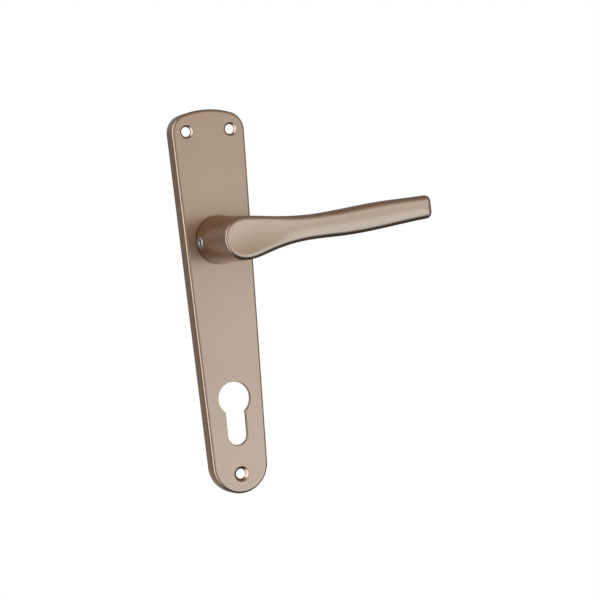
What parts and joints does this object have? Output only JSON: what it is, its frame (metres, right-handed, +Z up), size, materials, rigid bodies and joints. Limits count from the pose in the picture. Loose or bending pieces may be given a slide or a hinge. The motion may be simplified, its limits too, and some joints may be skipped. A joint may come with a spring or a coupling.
{
  "type": "lever door handle on backplate",
  "caption": "Sprung lever door handle on a long tapered backplate with screw holes and a euro-profile cylinder cutout.",
  "frame": {"origin": "where the handle's turning axis meets the door face", "axes": "+Y into the door along the turning axis, +X along the lever to its free end, +Z up along the backplate"},
  "size_m": [0.1296, 0.0478, 0.2055],
  "materials": {
    "bronze_aluminium": "satin bronze anodised",
    "zinc_steel": "zinc plated",
    "spring_steel": "oiled",
    "acetal": "moulded, natural white"
  },
  "bodies": {
    "plate": {"cover_plate": "bronze_aluminium", "backing_plate": "zinc_steel", "backing_screws": "zinc_steel", "stop_pins": "zinc_steel", "neck_bush": "acetal", "slide_washer": "acetal", "return_spring": "spring_steel"},
    "lever": {"lever_handle": "bronze_aluminium", "grub_screw": "zinc_steel", "spring_driver": "zinc_steel", "spacer": "acetal", "wave_washer": "spring_steel", "retaining_ring": "spring_steel"}
  },
  "joints": [
    {"name": "lever_turn", "type": "hinge", "parent": "plate", "child": "lever", "pos_m": [0, 0, 0], "axis": [0, 1, 0], "range_deg": [0, 45], "stiffness_Nm_per_rad": 0.18, "springref_deg": -57.3, "deforming": ["return_spring"]}
  ]
}
